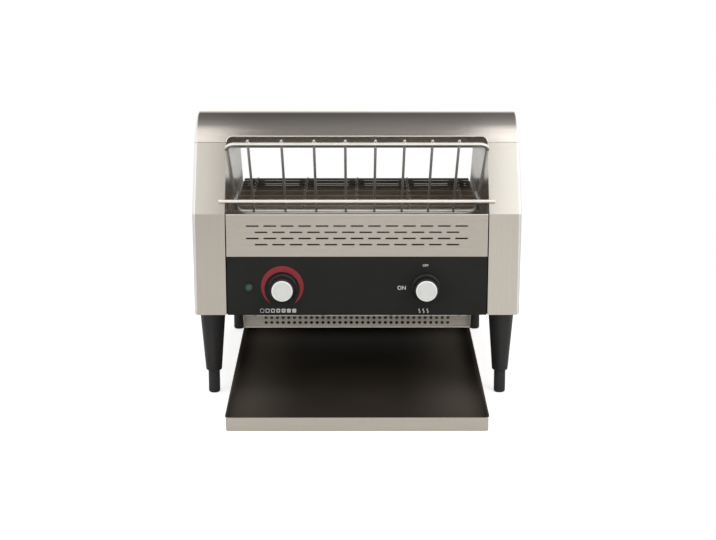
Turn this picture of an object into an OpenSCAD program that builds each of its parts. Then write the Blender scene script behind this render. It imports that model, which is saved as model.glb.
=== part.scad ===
// Conveyor toaster on four legs: bread slides down a wire rack onto a wire belt, runs between two rows
// of heating elements, drops off the back of the belt and slides down a chute into a tray on the counter.
// Lengths are in millimetres. +X is right as seen from the front, +Y runs to the rear, z = 0 is the counter.
// Drawn with y = 0 at the front face, then moved by at_body() so that the origin is the middle of the base.

/* [Casing] */
// Width of the body
body_w = 475; // [440:1:560]
// Depth of the body
body_d = 440; // [432:1:500]
// Height of the body above its legs
body_h = 284; // [276:1:320]
// Thickness of the sheet steel
sheet = 1.2; // [0.8:0.1:1.6]
// Width of a side bay and of its front flange
bay_w = 46.7; // [45:0.1:60]
// Radius of the casing's folded corners
corner_r = 4; // [2:0.5:5]
// Tilt of the upper front face from upright
face_tilt = 33.8; // [30:0.1:36]
// Radius of the hood's nose
nose_r = 88.6; // [80:0.1:92]
// Height of the upright part of the back
back_h = 89; // [84:1:94]
// Tilt of the rear slope from upright
rear_tilt = 38.1; // [34:0.1:40]
// Radius of the hood's rear edge
rear_r = 12; // [8:0.5:20]
// Depth of the hood's folded side edges
hood_edge = 6; // [5.5:0.5:10]
// Height of the open window above the upright part of the back
window_h = 90; // [70:1:100]
// Width of the visible joints between casing parts
joint_gap = 0.4; // [0.2:0.1:1]

/* [Front] */
// Height of the black control panel
control_h = 88; // [84:1:92]
// Height of the slotted vent panel
vent_h = 63; // [58:1:66]
// Gap between the front panels and the side flanges
panel_gap = 1.6; // [0.8:0.1:2.5]
// Depth of the panels' folded edges
fold = 12; // [8:0.5:14]
// How far the mouth's top edge is cut up into the nose
mouth_rise = 9.8; // [9.2:0.1:16]
// Corner radius of the mouth
mouth_r = 9; // [4:0.5:9]
// Radius of the bar behind the mouth's top edge
lip_r = 2.2; // [1.5:0.1:3]
// Length of a vent slot
slot_w = 18.6; // [14:0.1:20]
// Height of a vent slot
slot_h = 2.1; // [1.5:0.1:3]
// Distance from slot to slot along a row
slot_pitch = 25.2; // [22:0.1:26]
// Distance from row to row
slot_row = 9.2; // [7:0.1:11]
// Slots in the top row
slot_count = 13; // [7:2:13]
// Rows of slots
slot_rows = 4; // [2:1:5]

/* [Legs] */
// Height of the body above the counter
leg_h = 127; // [110:1:140]
// Diameter of a leg at the top
leg_top_d = 37; // [28:0.5:38]
// Diameter of a leg at the bottom
leg_low_d = 23.5; // [20:0.5:26]
// Distance from the side of the body to a front leg's axis
front_leg_in = 24.5; // [22:0.5:26]
// Distance from the front of the body to a front leg's axis
front_leg_back = 28.5; // [26:0.5:34]
// Distance from the side of the body to a rear leg's axis
rear_leg_in = 40; // [38:0.5:42]
// Distance from the back of the body to a rear leg's axis
rear_leg_back = 82; // [60:1:90]
// Height of an adjuster foot
foot_h = 35; // [28:1:40]
// Diameter of an adjuster foot
foot_d = 17; // [14:0.5:20]
// Diameter of an adjuster's screw
stem_d = 10; // [8:0.5:12]
// Length of an adjuster's screw inside its leg
stem_l = 46; // [40:1:50]

/* [Belt] */
// Height of the belt's top above the bottom of the body
belt_rise = 125; // [122:1:128]
// Outer radius of the belt round its rollers
belt_r = 20; // [18:0.5:21]
// Distance from the front face to the drive shaft
drive_in = 70; // [66:1:80]
// Distance from the back of the body to the idler shaft
idler_in = 55; // [53:1:70]
// Clearance from the belt's edge to the chamber wall
belt_side = 5.1; // [4:0.1:8]
// Diameter of the belt wire
wire_d = 2.2; // [1.8:0.1:2.4]
// Nominal distance from wire to wire
belt_pitch = 12.5; // [10:0.5:16]
// Outer radius of an eye in the belt
eye_r = 2.4; // [2.2:0.1:2.8]
// Thickness of a link
link_t = 2; // [1.5:0.1:3]
// Diameter of the two shafts
shaft_d = 10; // [8:0.5:12]
// Width of a roller
roller_w = 26; // [20:1:40]

/* [Heating] */
// Diameter of a heating element
element_d = 8; // [6:0.5:9]
// Elements in each row
element_count = 4; // [2:1:5]
// Depth of the upper elements' axis below the top of the body
element_below = 55; // [50:1:58]
// Height of the upper reflector above the upper elements' axis
reflector_up = 16; // [12:0.5:18]

/* [Feed rack] */
// Diameter of the frame rod
rod_d = 5.8; // [4:0.1:7]
// Diameter of the rack's wires
rack_wire_d = 3.8; // [2:0.1:4.4]
// Wires in the rack
rack_wires = 8; // [4:1:10]
// Distance from wire to wire
rack_pitch = 42.7; // [30:0.1:44]
// How far the middle wires are welded to the right of even spacing, and the outer ones to the left
rack_bow = 5; // [0:0.1:6]
// Diameter of the rest bar and its arms
rest_d = 4.4; // [3:0.1:5]
// How far the top rod stands out in front of the front face
rack_out = 28; // [20:1:40]
// Height of the top rod above the bend of the front face
rack_up = 107; // [100:1:115]
// Distance from the front face to the bottom rod
rack_in = 104; // [100:1:110]
// Height of the bottom rod above the belt's top
rack_over_belt = 7; // [5:0.5:12]
// Bend radius of the frame rod
rod_bend = 12; // [8:0.5:16]

/* [Controls] */
// Height of the knobs' axes above the bottom of the body
knob_up = 42; // [38:1:46]
// Distance from the side of the body to the browning knob
browning_in = 129.2; // [123:0.1:140]
// Distance from the side of the body to the heat knob
heat_in = 136.9; // [124:0.1:146]
// Distance from the side of the body to the pilot lamp
lamp_in = 80.5; // [74:0.5:86]
// Diameter of a knob at its foot
knob_d = 41.6; // [34:0.2:44]
// Diameter of a knob's pale cap
cap_d = 30.8; // [26:0.2:32]
// Height of a knob
knob_h = 22.5; // [18:0.5:26]
// Diameter of a spindle
spindle_d = 6; // [5:0.5:8]
// Width of the browning controller
browning_w = 46; // [40:1:50]
// Depth of the browning controller
browning_depth = 36; // [30:1:44]
// Height of the browning controller
browning_h = 48; // [40:1:54]
// Width of the heat switch
heat_w = 40; // [34:1:46]
// Depth of the heat switch
heat_depth = 44; // [34:1:48]
// Height of the heat switch
heat_h = 42; // [36:1:50]
// Diameter of the pilot lamp's lens
lamp_d = 11; // [9:0.5:13]

/* [Heat guard, chute and tray] */
// Half width of the heat guard
guard_half = 166; // [150:1:172]
// Length of the heat guard's slope
guard_l = 26; // [24:1:30]
// Tilt of the heat guard from level
guard_tilt = 76; // [65:1:85]
// Width of the lip along the guard's low edge
guard_lip = 4; // [2:0.5:6]
// Distance between the guard's holes
guard_pitch = 8.4; // [7.5:0.1:9]
// Diameter of the guard's holes
guard_hole_d = 4.9; // [3:0.1:5.4]
// Holes in a row of the guard
guard_holes = 33; // [21:1:35]
// Distance of the guard's outer screws from its ends
guard_screw_in = 16; // [10:1:30]
// Tilt of the toast chute from upright
chute_tilt = 34; // [32:0.5:35]
// Height of the chute's lower edge above the counter
chute_low = 26; // [26:1:45]
// Gap between the chute and a rear leg
chute_gap = 4; // [3:0.5:12]
// Gap between the tray's side and a rear foot
tray_side = 5; // [3:0.5:12]
// How far the tray stands out in front of the body
tray_out = 145; // [100:1:180]
// Distance of the tray's back edge from the back of the body
tray_back_in = 85; // [65:1:130]
// Height of the tray's rim
tray_h = 20; // [15:0.5:24]
// Thickness of the tray's sheet
tray_t = 1; // [0.8:0.1:1.5]

/* [Cable gland] */
// How far the gland stands out behind the body
gland_out = 15; // [12:0.5:20]
// Bore of the gland
gland_bore = 9; // [7:0.5:10]

/* [Hidden] */

$fn = 48;
run_gap = 0.05;                 // radial clearance of a shaft in its bearing
seat_gap = 0.3;                 // gap between parts that rest on each other but move apart
steel = [0.74, 0.72, 0.68];
dark_steel = [0.36, 0.33, 0.3];
black = [0.14, 0.14, 0.14];
ceramic = [0.88, 0.86, 0.8];
nickel = [0.62, 0.62, 0.6];

front_y = -(body_d + gland_out - tray_out) / 2;
wall_x = body_w / 2 - bay_w;    // inner face of a chamber wall
wall_out = wall_x + sheet;      // its outer face, inside the side bay
base_z = leg_h;
floor_z = base_z + 2 * sheet;   // top of the base plate, which lies on the side panels' bottom flanges
control_top = base_z + control_h;
bend_z = control_top + vent_h;
back_top = base_z + back_h;
window_top = back_top + window_h;
top_z = base_z + body_h;
nose_z = top_z - nose_r;
nose_y = (nose_r + (nose_z - bend_z) * sin(face_tilt)) / cos(face_tilt);
crest_z = top_z - rear_r;
crest_y = body_d - (rear_r + (crest_z - back_top) * sin(rear_tilt)) / cos(rear_tilt);
nose_steps = 14;
crest_steps = 4;

belt_z = base_z + belt_rise;
axle_z = belt_z - belt_r;
drive_y = drive_in;
idler_y = body_d - idler_in;
span = idler_y - drive_y;
loop_r = belt_r - eye_r;        // radius of the wires' centres round a shaft
loop_l = 2 * span + 2 * PI * loop_r;
strands = 2 * round(loop_l / belt_pitch / 2);
belt_half = wall_x - belt_side;
column_x = [for (k = [-2:2]) k * (belt_half - roller_w / 2 - 8) / 2];
roller_r = loop_r - eye_r - seat_gap;
bush_r = shaft_d / 2 + 2;
shaft_end = wall_out + 16;

bar_d = 6;
element_y = [for (k = [0:element_count - 1]) drive_y + 25 + (span - 50) * (k + 0.5) / element_count];
bar_y = [drive_y + 25 + (span - 50) / element_count, idler_y - 25 - (span - 50) / element_count];
upper_y = [for (k = [0:element_count - 1]) nose_y + 4 + (crest_y - nose_y - 10) * k / (element_count - 1)];
upper_z = top_z - element_below;
rail_top = belt_z - 2 * eye_r - seat_gap;
rail_t = 3;
bar_z = rail_top - rail_t - bar_d / 2;
lower_z = bar_z - bar_d / 2 - element_d / 2 - 2;
element_clear = 1;
shelf_top = belt_z - eye_r - wire_d / 2 - seat_gap;

knob_z = base_z + knob_up;
browning_x = body_w / 2 - browning_in;
heat_x = body_w / 2 - heat_in;
lamp_x = body_w / 2 - lamp_in;
chute_top = back_top - 4;
chute_half = body_w / 2 - rear_leg_in - leg_top_d / 2 - chute_gap;
tray_half = body_w / 2 - rear_leg_in - foot_d / 2 - tray_side;
tray_l = body_d - tray_back_in + tray_out;
base_hole_back = chute_y(base_z + sheet) + 4;
base_hole_front = base_hole_back - 57;
foot_gap = 0.2;

function rear_y(z) = body_d - (z - back_top) * tan(rear_tilt);
function face_y(z) = (z - bend_z) * tan(face_tilt);
function chute_y(z) = body_d - sheet - (chute_top - z) * tan(chute_tilt);

// Side outline of the body as [y, z] points, set in by i all round
function side_outline(i) = concat(
    [[i, base_z + i], [i, bend_z - i * tan(face_tilt / 2)]],
    [for (k = [0:nose_steps]) let (a = 180 - face_tilt - (90 - face_tilt) * k / nose_steps)
        [nose_y, nose_z] + (nose_r - i) * [cos(a), sin(a)]],
    [for (k = [0:crest_steps]) let (a = 90 - (90 - rear_tilt) * k / crest_steps)
        [crest_y, crest_z] + (rear_r - i) * [cos(a), sin(a)]],
    [[body_d - i, back_top - i * tan(rear_tilt / 2)], [body_d - i, base_z + i]]);

// ---- helpers ----
module at_body() translate([0, front_y, 0]) children();

module both_sides() for (s = [0, 1]) mirror([s, 0, 0]) children();

// Extrudes a [y, z] outline along X
module along_x(x0, x1) translate([x0, 0, 0]) rotate([90, 0, 90]) linear_extrude(x1 - x0) children();

// A round bar along X
module bar_x(x0, x1, y, z, r) translate([x0, y, z]) rotate([0, 90, 0]) cylinder(r = r, h = x1 - x0);

// A round bar along Y, towards the rear
module bar_y_axis(x, y0, y1, z, r) translate([x, y0, z]) rotate([-90, 0, 0]) cylinder(r = r, h = y1 - y0);

// Rounded right edge of the body, set in by i: pairs of x and the further inset of the outline there
function edge_stations(i) = let (r = max(corner_r - i, 0.5), steps = 4)
    [for (k = [0:steps]) let (a = 90 * k / steps) [body_w / 2 - i - r + r * sin(a), i + r * (1 - cos(a))]];

// Solid whose cross section at each station's x is the side outline, set in as far as the station says
module casing_solid(stations) {
    m = len(side_outline(0));
    last = len(stations) - 1;
    points = [for (s = stations, p = side_outline(s[1])) [s[0], p[0], p[1]]];
    skin = [for (k = [0:last - 1], j = [0:m - 1]) let (n = (j + 1) % m)
        [k * m + j, k * m + n, (k + 1) * m + n, (k + 1) * m + j]];
    polyhedron(points, concat(skin, [[for (j = [m - 1:-1:0]) j], [for (j = [0:m - 1]) last * m + j]]));
}

// The whole body, and its right side from x0 on, set in by i
function mirrored(stations) = [for (k = [len(stations) - 1:-1:0]) [-stations[k][0], stations[k][1]]];
module whole_casing(i) casing_solid(concat(mirrored(edge_stations(i)), edge_stations(i)));
module side_casing(i, x0) casing_solid(concat([[x0, i]], edge_stations(i)));

// Where the hood takes over from the side panels; g widens it at its two ends
module hood_zone(g) {
    reach = 400;
    along = [sin(face_tilt), cos(face_tilt)];
    out = [-cos(face_tilt), sin(face_tilt)];
    down = [sin(rear_tilt), -cos(rear_tilt)];
    rear_out = [cos(rear_tilt), sin(rear_tilt)];
    rear_end = [rear_y(window_top), window_top] + g * down;
    start = [nose_y, nose_z] - g * along;
    polygon([start, start + reach * out, [-reach, top_z + reach], [body_d + reach, top_z + reach],
        rear_end + reach * rear_out, rear_end - 30 * rear_out]);
}

// A flat panel between z0 and z1 with its bottom edge and its top edge folded back, the top one by top_fold
module folded_panel(half, z0, z1, face, way, top_fold = fold) along_x(-half, half)
    polygon([[face, z0], [face, z1], [face + way * top_fold, z1], [face + way * top_fold, z1 - sheet],
        [face + way * sheet, z1 - sheet], [face + way * sheet, z0 + sheet],
        [face + way * fold, z0 + sheet], [face + way * fold, z0]]);

// Round rod swept along points that lie in the plane with the unit normal n
module planar_rod(path, n, r, closed = false) {
    sides = 10;
    m = len(path);
    rings = [for (i = [0:m - 1])
        let (a = closed ? path[(i + m - 1) % m] : path[max(i - 1, 0)],
            b = closed ? path[(i + 1) % m] : path[min(i + 1, m - 1)],
            t = (b - a) / norm(b - a), w = cross(t, n))
        for (k = [0:sides - 1]) let (c = 360 * k / sides) path[i] + r * (cos(c) * n + sin(c) * w)];
    spans = closed ? m : m - 1;
    skin = [for (i = [0:spans - 1], k = [0:sides - 1])
        let (j = (i + 1) % m, l = (k + 1) % sides)
        [i * sides + k, i * sides + l, j * sides + l, j * sides + k]];
    caps = closed ? [] : [[for (k = [sides - 1:-1:0]) k], [for (k = [0:sides - 1]) (m - 1) * sides + k]];
    polyhedron(rings, concat(skin, caps));
}

// ---- casing ----
module side_panel() difference() {
    side_casing(0, wall_x);
    side_casing(sheet, wall_x - 1);
    along_x(0, body_w) intersection() {
        hood_zone(joint_gap);
        difference() {
            polygon(side_outline(-1));
            polygon(side_outline(hood_edge + joint_gap));
        }
    }
    base_screw_places() cylinder(r = 2.1, h = 40, center = true);
}

module left_side_panel() color(steel) at_body() mirror([1, 0, 0]) side_panel();

module right_side_panel() color(steel) at_body() difference() {
    side_panel();
    translate([gland_x - entry_w / 2 + entry_lap, body_d - 20, gland_z - entry_h / 2 + entry_lap])
        cube([entry_w - 2 * entry_lap, 25, entry_h - 2 * entry_lap]);
    entry_screw_places() cylinder(r = 1.6, h = 20, center = true);
}

// Mouth cut in local axes: y runs up the nose from the seam, and the two upper corners are round
module mouth_cut() translate([0, nose_y, nose_z]) rotate([90 - face_tilt, 0, 0])
    translate([0, 0, nose_r / 2]) linear_extrude(nose_r) polygon(concat([[-wall_x, -30]],
        [for (a = [180:-15:90]) [mouth_r - wall_x + mouth_r * cos(a), mouth_rise - mouth_r + mouth_r * sin(a)]],
        [for (a = [90:-15:0]) [wall_x - mouth_r + mouth_r * cos(a), mouth_rise - mouth_r + mouth_r * sin(a)]],
        [[wall_x, -30]]));

module hood() color(steel) at_body() difference() {
    intersection() {
        difference() {
            whole_casing(0);
            whole_casing(sheet);
        }
        along_x(-body_w, body_w) hood_zone(0);
    }
    along_x(-body_w, body_w) polygon(side_outline(hood_edge));
    mouth_cut();
}

// Bar that stiffens the hood's edge over the mouth, from wall to wall against the hood's inner face
module mouth_bar() color(steel) at_body() {
    a = 180 - face_tilt - asin((mouth_rise + lip_r) / nose_r);
    r = (nose_r - sheet) * cos(90 / nose_steps / 2) - lip_r;
    bar_x(-wall_x, wall_x, nose_y + r * cos(a), nose_z + r * sin(a), lip_r);
}

module vent_slots() for (row = [0:slot_rows - 1]) let (n = slot_count - row % 2)
    for (k = [0:n - 1])
        translate([(k - (n - 1) / 2) * slot_pitch, control_top + vent_h / 2 + 0.2
            + ((slot_rows - 1) / 2 - row) * slot_row]) {
            square([slot_w - slot_h, slot_h], center = true);
            for (s = [-1, 1]) translate([s * (slot_w - slot_h) / 2, 0]) circle(slot_h / 2, $fn = 12);
        }

module vent_panel() color(steel) at_body() difference() {
    folded_panel(wall_x - panel_gap, control_top, bend_z, 0, 1);
    translate([0, sheet + 1, 0]) rotate([90, 0, 0]) linear_extrude(sheet + 2) vent_slots();
}

module control_panel() color(black) at_body() difference() {
    folded_panel(wall_x - panel_gap, base_z, control_top, 0, 1);
    for (x = [-browning_x, heat_x]) bar_y_axis(x, -1, sheet + 1, knob_z, spindle_d / 2 + 1);
    bar_y_axis(-lamp_x, -1, sheet + 1, knob_z, lamp_d / 2 - 1);
    front_screw_places() cylinder(r = 2.1, h = 10, center = true);
}

module rear_panel() color(steel) at_body()
    folded_panel(wall_x, base_z, back_top, body_d, -1, top_fold = 4 * sheet);

module base_plate() color(steel) at_body() difference() {
    edge = body_w / 2 - corner_r - joint_gap;
    translate([-edge, sheet, base_z + sheet]) cube([2 * edge, body_d - 2 * sheet, sheet]);
    translate([-chute_half - 3, base_hole_front, base_z])
        cube([2 * chute_half + 6, base_hole_back - base_hole_front, 4 * sheet]);
    both_sides() base_screw_places() cylinder(r = 2.1, h = 40, center = true);
    front_screw_places() cylinder(r = 2.1, h = 10, center = true);
}

module chamber_wall() along_x(wall_x, wall_out) difference() {
    intersection() {
        polygon(side_outline(sheet));
        translate([0, floor_z]) square([body_d, body_h]);
    }
    for (y = [drive_y, idler_y]) translate([y, axle_z]) circle(bush_r + run_gap);
    for (y = element_y) translate([y, lower_z]) circle(element_d / 2 + 2.05);
    for (y = upper_y) translate([y, upper_z]) circle(element_d / 2 + 2.05);
}

module left_chamber_wall() color(steel) at_body() mirror([1, 0, 0]) chamber_wall();
module right_chamber_wall() color(steel) at_body() chamber_wall();

// Shelf and back wall that shut the electrical space off from the hot chamber
module compartment_cover() color(steel) at_body() {
    back = drive_y + belt_r + 2;
    lid = axle_z - belt_r - 7;
    along_x(-wall_x, wall_x) polygon([[fold + 2, lid], [back, lid], [back, floor_z],
        [back - sheet, floor_z], [back - sheet, lid - sheet], [fold + 2, lid - sheet]]);
}

module heat_guard() color(steel) at_body() {
    run = [cos(guard_tilt), -sin(guard_tilt)];
    thick = sheet * [sin(guard_tilt), cos(guard_tilt)];
    start = [fold + 10, base_z - sheet];
    low = start + guard_l * run;
    inner = start + thick - sheet * tan(guard_tilt / 2) * run;
    top_flange = [[fold / 2, base_z], [fold / 2, base_z - sheet]];
    rows_in = guard_l / 2 + 1.5;
    difference() {
        along_x(-guard_half, guard_half) polygon(concat(top_flange, [start, low - sheet * run,
            low - sheet * run - [guard_lip, 0], low - [guard_lip, 0], low, low + thick, inner]));
        translate([0, start[0], start[1]]) rotate([-guard_tilt, 0, 0])
            for (row = [-0.5, 0.5], k = [0:guard_holes - 1])
                translate([(k - (guard_holes - 1) / 2) * guard_pitch, rows_in + row * guard_pitch, -sheet])
                    cylinder(r = guard_hole_d / 2, h = 3 * sheet, $fn = 12);
        front_screw_places() cylinder(r = 2.1, h = 10, center = true);
    }
    both_sides() along_x(guard_half, guard_half + sheet)
        polygon(concat(top_flange, [low - [guard_lip, 0], low, low + thick, inner]));
}

module toast_chute() color(steel) at_body() {
    side = 14;
    low_y = chute_y(chute_low);
    step = sheet / cos(chute_tilt);
    back = chute_y(chute_top);
    along_x(-chute_half, chute_half)
        polygon([[back, chute_top], [low_y, chute_low], [low_y - step, chute_low], [back - step, chute_top]]);
    both_sides() along_x(chute_half - sheet, chute_half)
        polygon([[back, chute_top], [low_y, chute_low], [low_y - side, chute_low],
            [back - side, chute_top]]);
}

// ---- heating ----
module upper_reflector() color(steel) at_body() {
    z = upper_z + reflector_up;
    lip = 12;
    y0 = upper_y[0] - 24;
    y1 = upper_y[element_count - 1] + 18;
    both_sides() along_x(wall_x - sheet, wall_x) polygon([[y0, z], [y1, z], [y1, z + 8], [y0, z + 8]]);
    along_x(-wall_x, wall_x) polygon([[y0 - lip, z - lip], [y0, z], [y1, z], [y1 + lip, z - lip],
        [y1 + lip + sheet, z - lip + sheet], [y1 + sheet / 2, z + sheet], [y0 - sheet / 2, z + sheet],
        [y0 - lip - sheet, z - lip + sheet]]);
}

module lower_reflector() color(steel) at_body() {
    z = axle_z - belt_r / 2;
    y0 = drive_y + belt_r + 6;
    y1 = idler_y - belt_r - 6;
    along_x(-wall_x, wall_x) polygon([[y0, z], [y1, z], [y1, z + sheet], [y0, z + sheet]]);
    lip = lower_z - element_d / 2 - element_clear;
    both_sides() along_x(wall_x - sheet, wall_x)
        polygon([[y0, z + sheet], [y1, z + sheet], [y1, lip], [y0, lip]]);
}

module elements(ys, z) for (y = ys) {
    bar_x(-wall_out - 14, wall_out + 14, y, z, element_d / 2);
    both_sides() bar_x(wall_out + 14, wall_out + 20, y, z, 2);
}
module upper_elements() color(dark_steel) at_body() elements(upper_y, upper_z);
module lower_elements() color(dark_steel) at_body() elements(element_y, lower_z);

// Ceramic bush: a spigot in the wall's hole and a collar against its outer face
module element_bush(y, z) difference() {
    union() {
        bar_x(wall_x, wall_out, y, z, element_d / 2 + 2);
        bar_x(wall_out, wall_out + 6, y, z, element_d / 2 + 4);
    }
    bar_x(wall_x - 1, wall_out + 7, y, z, element_d / 2 + run_gap);
}
module element_bushes() color(ceramic) at_body() both_sides() {
    for (y = upper_y) element_bush(y, upper_z);
    for (y = element_y) element_bush(y, lower_z);
}

// ---- belt ----
// Place of the wire at distance s along the loop, as [y, z]: top run, rear turn, bottom run, front turn
function loop_point(s) = let (turn = PI * loop_r, deg = 180 / PI / loop_r)
    s < span ? [drive_y + s, axle_z + loop_r]
    : s < span + turn ? let (a = 90 - (s - span) * deg)
        [idler_y + loop_r * cos(a), axle_z + loop_r * sin(a)]
    : s < 2 * span + turn ? [idler_y - (s - span - turn), axle_z - loop_r]
    : let (a = 270 - (s - 2 * span - turn) * deg)
        [drive_y + loop_r * cos(a), axle_z + loop_r * sin(a)];

// Link from a wire at p to an eye round the next wire at q
module link_outline(p, q) {
    l = norm(q - p);
    translate(p) rotate(atan2(q[1] - p[1], q[0] - p[0])) difference() {
        union() {
            translate([0, -wire_d / 2 + 0.1]) square([l, wire_d - 0.2]);
            translate([l, 0]) circle(eye_r, $fn = 16);
        }
        translate([l, 0]) circle(wire_d / 2 + 0.12, $fn = 16);
    }
}

module conveyor_belt() color(dark_steel) at_body() {
    pitch = loop_l / strands;
    for (k = [0:strands - 1]) let (p = loop_point(k * pitch), q = loop_point(((k + 1) % strands) * pitch)) {
        bar_x(-belt_half, belt_half, p[0], p[1], wire_d / 2, $fn = 16);
        for (x = column_x) let (x0 = x + (k % 2 ? 0.4 : -0.4 - link_t))
            along_x(x0, x0 + link_t) link_outline(p, q);
    }
}

module belt_side_guides() color(steel) at_body() both_sides()
    for (y0 = [drive_y + belt_r / 2]) translate([0, y0, 0]) {
        l = span - belt_r;
        translate([wall_x - sheet, 0, shelf_top - 2]) cube([sheet, l, belt_z + 5 - shelf_top + 2]);
        translate([belt_half - 7, 0, shelf_top - 2]) cube([wall_x - belt_half + 7 - sheet, l, 2]);
    }

module belt_support_rails() color(steel) at_body()
    for (x = [column_x[1], column_x[3]])
        translate([x - 6, drive_y + belt_r + 2, rail_top - rail_t])
            cube([12, span - 2 * belt_r - 4, rail_t]);

module belt_cross_bars() color(steel) at_body()
    for (y = bar_y) bar_x(-wall_x, wall_x, y, bar_z, bar_d / 2);

module shaft_bush(y) difference() {
    union() {
        bar_x(wall_x - 2, wall_x, y, axle_z, bush_r + 3);
        bar_x(wall_x, wall_out + 4, y, axle_z, bush_r);
    }
    bar_x(wall_x - 3, wall_out + 5, y, axle_z, shaft_d / 2 + run_gap);
}
module shaft_bushes() color("goldenrod") at_body() both_sides() {
    shaft_bush(drive_y);
    shaft_bush(idler_y);
}

module shaft(y, right_end) bar_x(-shaft_end, right_end, y, axle_z, shaft_d / 2);
module drive_shaft() color(nickel) at_body() shaft(drive_y, motor_x + 12);
module idler_shaft() color(nickel) at_body() shaft(idler_y, shaft_end);

module roller(x, y) translate([x - roller_w / 2, y, axle_z]) rotate([0, 90, 0]) rotate_extrude()
    polygon([[shaft_d / 2, 0], [roller_r - 1.5, 0], [roller_r, 1.5], [roller_r, roller_w - 1.5],
        [roller_r - 1.5, roller_w], [shaft_d / 2, roller_w]]);
module drive_rollers() color(nickel) at_body() for (x = column_x) roller(x, drive_y);
module idler_rollers() color(nickel) at_body() for (x = column_x) roller(x, idler_y);

// Locking collar on the shaft, just outside its bush
module collar(y) difference() {
    bar_x(wall_out + 4 + seat_gap, wall_out + 12, y, axle_z, shaft_d / 2 + 4);
    bar_x(wall_out, wall_out + 20, y, axle_z, shaft_d / 2);
}
module drive_shaft_collar() color(nickel) at_body() mirror([1, 0, 0]) collar(drive_y);
module idler_shaft_collars() color(nickel) at_body() both_sides() collar(idler_y);

// Gearbox on three stand-offs on the right wall, with the synchronous motor's can on its back
motor_x = wall_out + 6;
gearbox_r = 29;
gearbox_t = 18;
can_t = body_w / 2 - sheet - motor_x - gearbox_t - 4;
module gear_motor() color(nickel) at_body() {
    mid_y = drive_y - 6;
    difference() {
        union() {
            bar_x(motor_x, motor_x + gearbox_t, mid_y, axle_z, gearbox_r);
            bar_x(motor_x + gearbox_t, motor_x + gearbox_t + can_t, mid_y, axle_z, gearbox_r - 4);
            for (a = [90, 210, 330])
                bar_x(wall_out, motor_x, mid_y + (gearbox_r - 6) * cos(a), axle_z + (gearbox_r - 6) * sin(a), 4);
        }
        bar_x(motor_x - 1, motor_x + 13, drive_y, axle_z, shaft_d / 2 + run_gap);
    }
}

// ---- feed rack ----
rack_top = [-rack_out, bend_z + rack_up];
rack_low = [rack_in, belt_z + rack_over_belt];
rack_l = norm(rack_low - rack_top);
rack_dir = (rack_low - rack_top) / rack_l;
rack_normal = [0, -rack_dir[1], rack_dir[0]];
rack_half_top = wall_x - 6.3;
rack_half_low = wall_x - 10.8;

// Point on the rack's plane: x across, v down the slope, h above the plane
function rack_point(x, v, h = 0) = [x, rack_top[0] + v * rack_dir[0] - h * rack_dir[1],
    rack_top[1] + v * rack_dir[1] + h * rack_dir[0]];

// Quarter bend of the frame round the corner (x, v), with its ends turned towards sx and sv
function bend(x, v, sx, sv, from, to) = [for (k = [0:5]) let (a = from + (to - from) * k / 5)
    rack_point(x + sx * rod_bend + rod_bend * cos(a), v + sv * rod_bend + rod_bend * sin(a))];

module rack_frame() color(steel) at_body() planar_rod(concat(
    bend(rack_half_top, 0, -1, 1, -90, 0),
    bend(rack_half_low, rack_l, -1, -1, 0, 90),
    bend(-rack_half_low, rack_l, 1, -1, 90, 180),
    bend(-rack_half_top, 0, 1, 1, 180, 270)), rack_normal, rod_d / 2, closed = true);

module rack_wires_group() color(steel) at_body() for (k = [0:rack_wires - 1]) {
    over = 4;
    h = (rod_d + rack_wire_d) / 2;
    m = (rack_wires - 1) / 2;
    p = rack_point((k - m) * rack_pitch + rack_bow * (1 - 2 * pow((k - m) / m, 2)), -over, h);
    translate(p) rotate([-90 - atan2(rack_dir[1], rack_dir[0]) * -1, 0, 0])
        cylinder(r = rack_wire_d / 2, h = rack_l + over + rod_d / 2, $fn = 20);
}

// Bar that lies across the two side flanges, with an arm at each side back to the frame
rest_z = bend_z + 17.3;
rest_off = rest_d / 2 + 0.1;
rest_y = face_y(rest_z) - rest_off / cos(face_tilt);
module rack_rest_bar() color(steel) at_body() {
    v = (rack_top[1] - rest_z) / -rack_dir[1];
    rod_x = rack_half_top + (rack_half_low - rack_half_top) * v / rack_l - rod_d / 2;
    frame_y = rack_point(0, v)[1];
    bar_x(-wall_x - 9.2, wall_x + 9.2, rest_y, rest_z, rest_d / 2, $fn = 24);
    both_sides() bar_y_axis(rod_x - rest_d / 2, rest_y, frame_y + 3, rest_z, rest_d / 2, $fn = 24);
}

// Pegs on the chamber walls that the frame's side rods rest on
module rack_pegs() color(steel) at_body() both_sides() {
    peg_r = 3;
    p = rack_point(0, rack_l * 0.8, -rod_d / 2 - peg_r - seat_gap);
    bar_x(rack_half_low - 4, wall_x, p[1], p[2], peg_r);
}

// ---- controls ----
module knob_body(x) translate([x, 0, knob_z]) rotate([90, 0, 0]) difference() {
    r = knob_d / 2;
    top_r = cap_d / 2 + 2.2;
    rotate_extrude() polygon([[0, 0.6], [r, 0.6], [r, 4], [r - 1.2, 5.2], [top_r + 0.6, 7],
        [top_r, knob_h - 1.6], [top_r - 1.2, knob_h - 0.4], [cap_d / 2, knob_h - 0.4],
        [cap_d / 2, knob_h - 2.4], [0, knob_h - 2.4]]);
    translate([0, 0, -1]) cylinder(r = spindle_d / 2, h = knob_h - 5);
    for (k = [0:17]) rotate(20 * k) translate([top_r + 1.5, 0, 8]) cylinder(r = 1.8, h = knob_h, $fn = 20);
}
module knob_cap(x) translate([x, 0, knob_z]) rotate([90, 0, 0]) translate([0, 0, knob_h - 2.4])
    rotate_extrude() polygon([[0, 0], [cap_d / 2 - 0.05, 0], [cap_d / 2 - 0.05, 2.2],
        [cap_d / 2 - 0.6, 2.8], [0, 3]]);
module spindle(x) bar_y_axis(x, -knob_h + 6, sheet + 24, knob_z, spindle_d / 2);

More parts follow.
